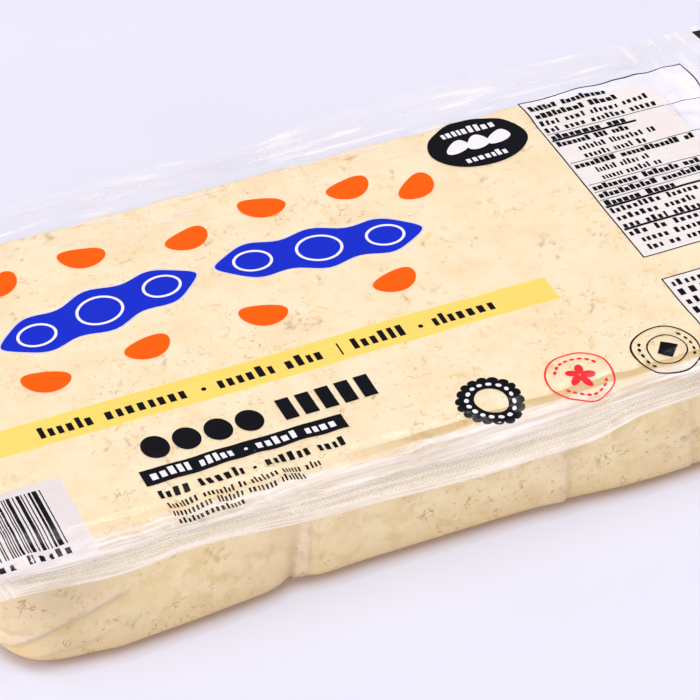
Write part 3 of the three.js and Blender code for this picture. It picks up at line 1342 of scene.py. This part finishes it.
@dataclass
class InkSheet:
    """One ink's flat shapes, drawn in millimetres and then laid on the lid."""

    ink: Ink
    finish: InkFinish
    slot: str
    above: float
    piece: bpy.types.Object = field(init=False)

    CUT, THICKNESS, START = 1.5, 0.02, 60.0

    def __post_init__(self) -> None:
        """Starts an empty mesh."""
        mesh = bpy.data.meshes.new(f"print_{self.ink.value}")
        self.piece = bpy.data.objects.new(mesh.name, mesh)
        bpy.context.scene.collection.objects.link(self.piece)

    @contextmanager
    def drawing(self) -> Iterator["InkSheet"]:
        """Edit mode on this sheet alone."""
        with Bench.editing(self.piece):
            yield self

    def bar(self, x: float, y: float, width: float, height: float) -> None:
        """Draws a plain bar.

        Args:
            x: Its left edge.
            y: Its lower edge.
            width: Its width.
            height: Its height.
        """
        centre = (x + width / 2, y + height / 2, 0)
        bpy.ops.mesh.primitive_plane_add(size=1, location=centre)
        bpy.ops.transform.resize(value=(width, height, 1), center_override=centre)

    def oval(
        self, x: float, y: float, width: float, height: float, tilt: float = 0.0, corners: int = 40
    ) -> None:
        """Draws a filled oval.

        Args:
            x: Its middle.
            y: Its middle.
            width: Its width.
            height: Its height.
            tilt: Its turn about its middle, in degrees.
            corners: How many corners it is drawn with.
        """
        centre = (x, y, 0)
        bpy.ops.mesh.primitive_circle_add(vertices=corners, radius=0.5, fill_type="NGON", location=centre)
        bpy.ops.transform.resize(value=(width, height, 1), center_override=centre)
        self._turn(centre, tilt)

    def ring(self, x: float, y: float, size: Place, line: float, tilt: float = 0.0) -> None:
        """Draws an oval ring with a line's width, its outer size given."""
        self.oval(x, y, *size, tilt, corners=56)
        self._hollow(line)

    def frame(self, x: float, y: float, width: float, height: float, line: float) -> None:
        """Draws a rectangle's outline."""
        self.bar(x, y, width, height)
        self._hollow(line)

    def shape(self, x: float, y: float, outline: Callable[[float], Place], tilt: float = 0.0) -> None:
        """Draws a filled shape: a disc whose rim points move to where an outline says.

        Args:
            x: Its middle.
            y: Its middle.
            outline: Gives the point of the outline for an angle, from the middle.
            tilt: Its turn about its middle, in degrees.
        """
        bpy.ops.mesh.primitive_circle_add(vertices=96, radius=1, fill_type="NGON", location=(x, y, 0))
        mesh = bmesh.from_edit_mesh(self.piece.data)
        for vertex in mesh.verts:
            if vertex.select:
                along, up = outline(math.atan2(vertex.co.y - y, vertex.co.x - x))
                vertex.co.x, vertex.co.y = x + along, y + up
        bmesh.update_edit_mesh(self.piece.data)
        self._turn((x, y, 0), tilt)

    def wreath(
        self, x: float, y: float, radius: float, dot: Place, count: int, skip: tuple[int, ...] = ()
    ) -> None:
        """Draws small ovals round a circle, each turned to follow it.

        Args:
            x: The circle's middle.
            y: The circle's middle.
            radius: The circle's radius.
            dot: An oval's length along the circle and its height.
            count: How many places there are round the circle.
            skip: The places left empty, counted anticlockwise from the right.
        """
        for step in range(count):
            if step not in skip:
                angle = 2 * math.pi * step / count
                place = (x + radius * math.cos(angle), y + radius * math.sin(angle))
                self.oval(*place, *dot, math.degrees(angle) + 90, corners=12)

    def line(self, line: Line) -> None:
        """Draws a line of words as plain blocks fitted between its two ends.

        Args:
            line: The line.
        """
        chance = random.Random(round(line.start * 31 + line.foot * 17))
        low = line.height * 0.72
        blocks: list[Point] = []
        x = 0.0
        for count in line.words:
            for _ in range(max(count, 1)):
                tall = line.height if chance.random() < 0.28 else low
                width = chance.uniform(0.75, 1.15)
                blocks.append((x, width, tall if count > 0 else -low * (0.45 if count == Line.DOT else 1.6)))
                x += width
            x += 0.9
        step = (line.end - line.start) / (x - 0.9)
        for start, width, tall in blocks:
            left, breadth = line.start + start * step, width * step
            if tall > 0:
                self.bar(left, line.foot, breadth * line.fill, tall)
            elif -tall < low:
                self.oval(left + breadth / 2, line.foot + low * 0.5, -tall, -tall, corners=16)
            else:
                self.bar(left + breadth / 2, line.foot - low * 0.25, 0.5, -tall)

    @staticmethod
    def _hollow(line: float) -> None:
        """Leaves only a rim of the selected face, with a line's width."""
        bpy.ops.mesh.inset(thickness=line)
        bpy.ops.mesh.delete(type="FACE")

    @staticmethod
    def _turn(centre: Point, tilt: float) -> None:
        """Turns what is selected, anticlockwise in degrees."""
        if tilt:
            bpy.ops.transform.rotate(value=-math.radians(tilt), orient_axis="Z", center_override=centre)

    @staticmethod
    def _crumpled(place: Vector) -> Vector:
        """Shifts a point of the print by the film's gathering near the long edges.

        Args:
            place: The point.

        Returns:
            Its new place.
        """
        x, y = place.x / MM, place.y / MM
        share = (0.12 + 0.35 * ease(x, 84, 104) + ease(abs(y), 38, 56)) * ease(x, -104, -88)
        shift = noise.noise_vector(Vector((x / 7.5, y / 9, 81))) * (0.8 * share * MM)
        return place + Vector((shift.x, shift.y, 0))

    def lay(self, lid: bpy.types.Object) -> bpy.types.Object:
        """Cuts the shapes into small faces and lays them on the lid.

        Args:
            lid: The lid film.

        Returns:
            The finished piece.
        """
        mesh = self.piece.data
        corners = [vertex.co for vertex in mesh.vertices]
        reach = [(min(c[axis] for c in corners), max(c[axis] for c in corners)) for axis in (0, 1)]
        with self.drawing():
            for axis, (low, high) in enumerate(reach):
                normal = (1 - axis, axis, 0)
                for step in range(math.ceil(low / self.CUT), math.floor(high / self.CUT) + 1):
                    bpy.ops.mesh.select_all(action="SELECT")
                    bpy.ops.mesh.bisect(plane_co=tuple(step * self.CUT * n for n in normal), plane_no=normal)
            bpy.ops.mesh.select_all(action="SELECT")
            bpy.ops.mesh.normals_make_consistent(inside=False)
        mesh.transform(Matrix.Diagonal((MM, MM, MM, 1)))
        mesh.transform(Matrix.Translation((0, 0, self.START * MM)))
        if mesh.polygons[0].normal.z < 0:
            mesh.flip_normals()
        Bench.move_points(self.piece, self._crumpled)
        Bench.lay_on(self.piece, lid, self.above * MM)
        Bench.modify(self.piece, "SOLIDIFY", thickness=self.THICKNESS * MM, offset=-1)
        self.piece.visible_shadow = False
        return Bench.dress(self.piece, self.finish.material(), self.slot)


@dataclass(frozen=True)
class Pod:
    """The outline of a plump bean pod."""

    length: float
    height: float

    def __call__(self, angle: float) -> Place:
        """Works out the outline.

        Args:
            angle: An angle in radians.

        Returns:
            The outline's point at it.
        """
        along = math.cos(angle)
        plump = (1 - abs(along) ** 3.2) ** 0.6 * (0.86 + 0.14 * math.cos(3 * math.pi * along))
        return along * self.length / 2, math.copysign(plump * self.height / 2, math.sin(angle))


@dataclass(frozen=True)
class Bean:
    """The outline of a single bean."""

    length: float
    height: float

    def __call__(self, angle: float) -> Place:
        """The point of the outline at an angle."""
        bend = self.height * 0.16 * math.cos(angle) ** 2
        return math.cos(angle) * self.length / 2, math.sin(angle) * self.height / 2 + bend


@dataclass(frozen=True)
class Row:
    """A row of the table panel: its line and the rule under it."""

    words: tuple[int, ...]
    reach: float
    bold: bool = False
    indent: float = 0.0
    rule: float = 0.0
    rule_reach: float = 1.0


@dataclass
class Label:
    """The lid's print: plain shapes and block lines of text, with no words, in the pack's colours."""

    lid: bpy.types.Object
    band: Field = (-140.0, -24.7, 191.3, 10.1)
    facts: Field = (80.0, -18.4, 53.6, 78.4)
    contents: Field = (80.0, -52.0, 53.6, 23.5)
    code: Field = (-140.0, -67.0, 42.0, 29.6)
    heading: Field = (-78.8, -49.9, 56.4, 5.8)
    register: Field = (145.0, 67.0, 4.4, 6.8)
    badge: Field = (61.3, 48.0, 30.0, 22.0)
    seal: Place = (15.6, -55.2)
    stamp: Place = (41.4, -56.2)
    rings: Place = (67.3, -55.6)
    thin: float = 0.42
    module: float = 0.33

    PODS = ((-64.5, 21.0, 8.0), (0.5, 22.0, -6.0))
    BEANS = (
        (-86, 42, 24), (-61, 44, -14), (-31, 40, 18), (-7, 45, -20), (19, 43, 12), (37, 36, 38),
        (-88, -1, -16), (-58, 1, 12), (-25, 1, -18), (14, 0, 16),
    )
    ROWS = (
        Row((6, 9), 25, True),
        Row((9, 5), 27, True),
        Row((4, 4, 6, 5), 35),
        Row((3, 4, 7, 5), 36, rule=0.25),
        Row((8, 3), 24, True, rule=0.9, rule_reach=0.52),
        Row((7, 3, 4), 23, True),
        Row((7, 8, 2), 30, indent=5),
        Row((6, 5, 2), 25, indent=5, rule=0.25),
        Row((8, 12, 2), 38, True),
        Row((6, 5, 2), 22, indent=5),
        Row((6, 6, 2), 24, indent=5, rule=0.25),
        Row((9, 7, 3), 34, True, rule=0.25),
        Row((11, 11), 38, True, rule=0.25),
        Row((6, 5), 22, True, rule=0.9),
        Row((9, 6), 28),
        Row((7, 6), 25),
        Row((3, 4, 7), 28, rule=0.9),
        Row((3, 2, 5, 7), 40),
        Row((5, 8, 6), 38, indent=2),
        Row((3, 2, 4, 6), 34, indent=2),
    )
    LINES = (
        Line(-97.0, 34.4, -22.0, 4.4, (6, 8, 0, 6, 4, -1, 6, 0, 7)),
        Line(-77.0, -25.0, -55.8, 3.4, (4, 6, 0, 6, 4)),
        Line(-76.6, -34.5, -60.0, 2.3, (8, 8, 2, 7, 6, 4), 0.5),
        Line(-76.6, -39.5, -62.9, 2.3, (10, 7, 7, 7), 0.5),
        Line(-76.0, -57.0, -65.6, 2.0, (15,), 0.5),
    )

    def build(self) -> list[bpy.types.Object]:
        """Draws every ink and lays it on the lid.

        Returns:
            The finished pieces.
        """
        inks = {
            Ink.YELLOW: (linear(246, 209, 108), {"cover": 0.86}, "print_yellow", 0.03, self._band),
            Ink.PANEL: (linear(232, 229, 241), {"cover": 0.38}, "print_white", 0.03, self._panels),
            Ink.WHITE: (linear(220, 211, 212), {"cover": 0.85}, "print_white", 0.04, self._whites),
            Ink.BLUE: (linear(18, 42, 194), {}, "print_blue", 0.06, self._pods),
            Ink.ORANGE: (linear(242, 92, 4), {}, "print_orange", 0.06, self._beans),
            Ink.RED: (linear(232, 46, 50), {}, "print_red", 0.06, self._red_stamp),
            Ink.BLACK: (linear(8, 9, 17), {"drag": 0.1}, "print_black", 0.06, self._blacks),
            Ink.KNOCKOUT: (linear(235, 230, 238), {}, "print_white", 0.08, self._knockouts),
        }
        sheets = []
        for ink, (colour, settings, slot, above, draw) in inks.items():
            finish = InkFinish(f"ink_{ink.value}", colour, **settings)
            with InkSheet(ink, finish, slot, above).drawing() as sheet:
                draw(sheet)
            sheets.append(sheet)
        return [sheet.lay(self.lid) for sheet in sheets]

    def _band(self, sheet: InkSheet) -> None:
        """The long band."""
        sheet.bar(*self.band)

    def _panels(self, sheet: InkSheet) -> None:
        """The thin pale fields behind the two text panels."""
        sheet.bar(*self.facts)
        sheet.bar(*self.contents)

    def _whites(self, sheet: InkSheet) -> None:
        """Draws the bar pattern's field and the halo round the pods.

        Args:
            sheet: The ink's sheet.
        """
        sheet.bar(*self.code)
        for x, y, tilt in self.PODS:
            sheet.shape(x, y, Pod(61.6, 19.6), tilt)

    def _pods(self, sheet: InkSheet) -> None:
        """Two large bean pods."""
        for x, y, tilt in self.PODS:
            sheet.shape(x, y, Pod(60.0, 18.2), tilt)

    def _beans(self, sheet: InkSheet) -> None:
        """Orange beans scattered above and below the pods."""
        for x, y, tilt in self.BEANS:
            sheet.shape(x, y, Bean(13.5, 8.6), tilt)

    def _blacks(self, sheet: InkSheet) -> None:
        """Draws all that is printed in black.

        Args:
            sheet: The ink's sheet.
        """
        for line in self.LINES:
            sheet.line(line)
        self._headings(sheet)
        self._facts(sheet)
        self._contents(sheet)
        self._code(sheet)
        self._badges(sheet)

    def _headings(self, sheet: InkSheet) -> None:
        """Draws two heavy rows of shapes in the place of the product line, and the bar under them.

        Args:
            sheet: The ink's sheet.
        """
        for step in range(4):
            sheet.oval(-71.4 + step * 8.8, -36.8, 7.6, 8.6)
        for step in range(5):
            sheet.bar(-36.2 + step * 5.6, -40.8, 3.9, 8.6)
        sheet.bar(*self.heading)

    def _facts(self, sheet: InkSheet) -> None:
        """Draws the table panel: its outline, rows of block text and rules between them.

        Args:
            sheet: The ink's sheet.
        """
        left, low, width, height = self.facts
        sheet.frame(*self.facts, self.thin)
        pitch = (height - 4) / len(self.ROWS)
        for index, row in enumerate(self.ROWS):
            foot = low + height - 2.4 - (index + 0.74) * pitch
            start = left + 1.5 + row.indent
            fill = 0.8 if row.bold else 0.6
            sheet.line(Line(start, left + 1.5 + row.reach, foot, pitch * 0.66, row.words, fill))
            if row.rule:
                sheet.bar(left + 1, foot - pitch * 0.26, (width - 2) * row.rule_reach, row.rule)

    def _contents(self, sheet: InkSheet) -> None:
        """Draws the second panel: outline and five plain lines, the first of them short.

        Args:
            sheet: The ink's sheet.
        """
        left, low, width, height = self.contents
        sheet.frame(*self.contents, self.thin)
        for row, words in enumerate(((12,), (4, 3, 6), (3, 8, 5), (7, 4, 4), (9, 6))):
            end = left + 1.8 + 0.88 * width * (0.5 if row == 0 else 1)
            sheet.line(Line(left + 1.8, end, low + height - 4.4 - row * 4.2, 2.7, words, 0.52))

    def _code(self, sheet: InkSheet) -> None:
        """Draws a bar pattern of random widths with a row of small blocks under it.

        Args:
            sheet: The ink's sheet.
        """
        left, low, width, height = self.code
        chance = random.Random(5)
        x, end = left + 5.4, left + width - 5.3
        while x < end - 1:
            bar = self.module * chance.choice((1, 1, 2, 3, 4))
            sheet.bar(x, low + 6.0, bar, height - 8.6)
            x += bar + self.module * chance.choice((1, 1, 2, 3))
        sheet.line(Line(left + 5.8, end, low + 2.4, 3.0, (1, 5, 5), 0.55))

    def _badges(self, sheet: InkSheet) -> None:
        """Draws the oval badge, the round seal, the double ring and the register mark.

        Args:
            sheet: The ink's sheet.
        """
        sheet.oval(*self.badge, corners=64)
        sheet.ring(*self.seal, (16.4, 16.4), 3.8)
        sheet.wreath(*self.seal, 8.1, (2.9, 2.4), 18)
        sheet.ring(*self.rings, (19.0, 19.0), 0.5)
        sheet.ring(*self.rings, (11.4, 11.4), self.thin)
        sheet.wreath(*self.rings, 7.4, (1.5, 0.8), 20, (3, 4, 5, 6, 7, 13, 14, 15, 16, 17))
        sheet.oval(*self.rings, 6.6, 6.6, corners=4)
        sheet.bar(*self.register)

    def _red_stamp(self, sheet: InkSheet) -> None:
        """Draws a red ring round a small flower with five petals.

        Args:
            sheet: The ink's sheet.
        """
        sheet.ring(*self.stamp, (19.0, 19.0), 0.5)
        sheet.wreath(*self.stamp, 6.9, (1.5, 0.9), 22, (0, 1, 10, 11, 12, 21))
        sheet.wreath(*self.stamp, 2.3, (2.4, 4.2), 5)

    def _knockouts(self, sheet: InkSheet) -> None:
        """Draws pale shapes on the black bar, badge and seal, and the seams of the beans in the pods.

        Args:
            sheet: The ink's sheet.
        """
        sheet.line(Line(-76.6, -24.6, -48.3, 3.1, (5, 5, 0, 5, 4), 0.66))
        x, y, _, _ = self.badge
        sheet.line(Line(x - 8.6, x + 8.6, y + 5.0, 2.9, (9,), 0.66))
        for along, length in ((-6.6, 5.0), (0.0, 6.2), (6.6, 5.0)):
            sheet.shape(x + along, y, Bean(length, 7.6), -62)
        sheet.line(Line(x - 6.6, x + 6.6, y - 8.0, 2.7, (7,), 0.66))
        sheet.wreath(*self.seal, 6.3, (1.6, 1.3), 16)
        for x, y, tilt in self.PODS:
            slope = math.radians(tilt)
            for along, size in ((-19.2, 9.4), (0.0, 11.6), (19.2, 9.4)):
                place = (x + along * math.cos(slope), y + along * math.sin(slope))
                sheet.ring(*place, (size + 2, size), 0.8, tilt)


# ---------------------------------------------------------------- the studio


@dataclass(frozen=True)
class Softbox:
    """An area light that points at the object. Its size is its length and its height."""

    name: str
    place: Point
    size: Place
    power: float

    def hang(self, target: Vector) -> None:
        """Adds the light and points it at a target.

        Args:
            target: Where it points.
        """
        bpy.ops.object.light_add(type="AREA", location=self.place)
        lamp = bpy.context.object
        lamp.name = self.name
        lamp.data.shape = "RECTANGLE"
        lamp.data.size, lamp.data.size_y = self.size
        lamp.data.energy = self.power
        lamp.rotation_euler = (target - lamp.location).to_track_quat("-Z", "Y").to_euler()


@dataclass
class Studio:
    """The table, the lights and the camera."""

    camera_place: Point = (-300.53 * MM, -673.36 * MM, 635.43 * MM)
    camera_target: Point = (8.85 * MM, 19.9 * MM, 0.0)
    lens: float = 180.0
    sensor: float = 36.0
    ambient: float = 0.165
    surround: Colour = (0.96, 0.95, 1.0, 1.0)
    table: float = 6.0
    lights: tuple[Softbox, ...] = (
        Softbox("left", (-1.5, -0.2, 0.8), (1.0, 1.0), 19),
        Softbox("right", (1.5, 0.0, 0.9), (1.0, 1.0), 18),
        Softbox("front", (-0.3, -1.35, 0.9), (1.6, 1.0), 10.5),
        Softbox("back_left", (-0.8, 1.1, 1.2), (0.8, 0.8), 6.5),
        Softbox("overhead", (0.1, 0.15, 1.3), (1.5, 1.5), 4.5),
        Softbox("strip", (0.375, 0.44, 1.06), (1.1, 0.07), 1.1),
    )

    def build(self) -> None:
        """Sets the scene up."""
        data = bpy.data.cameras.new("camera")
        data.lens = self.lens
        data.sensor_width = self.sensor
        camera = bpy.data.objects.new("camera", data)
        camera.location = self.camera_place
        line = Vector(self.camera_target) - camera.location
        camera.rotation_euler = line.to_track_quat("-Z", "Y").to_euler()
        bpy.context.scene.collection.objects.link(camera)
        bpy.context.scene.camera = camera
        for light in self.lights:
            light.hang(Vector((0, 0, 0)))
        self._world()
        self._table()
        bpy.context.scene.view_settings.view_transform = "Standard"

    def _world(self) -> None:
        """A dim, even surround."""
        world = bpy.data.worlds.new("studio")
        world.use_nodes = True
        bpy.context.scene.world = world
        background = world.node_tree.nodes["Background"]
        background.inputs["Color"].default_value = self.surround
        background.inputs["Strength"].default_value = self.ambient

    def _table(self) -> None:
        """The pale table under the pack."""
        Bench.grid((0, 0, 0), (self.table, self.table), (12, 12))
        table = Bench.name("table")
        table.data.materials.append(TableFinish().material())


# ---------------------------------------------------------------- assembly


def main() -> None:
    """Builds the pack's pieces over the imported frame, and the studio round them."""
    logging.basicConfig(level=logging.INFO, format="%(name)s: %(message)s")
    noise.seed_set(SEED)
    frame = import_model()
    nodes = frame["nodes"]
    block = Outline(247.5 * MM, 127 * MM, 14 * MM)
    low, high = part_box("lid_film")
    rim = Outline(high.x - low.x, high.y - low.y, 4 * MM)

    lid = LidFilm(nodes["lid_film"], block).build()
    CurdBlock(nodes["tofu_block"], lid, FOLDS).build()
    FormedFilm(nodes["tofu_block"], FOLDS).build()
    Seal(lid, rim).build()
    Label(lid).build()
    Studio().build()


if __name__ == "__main__":
    main()
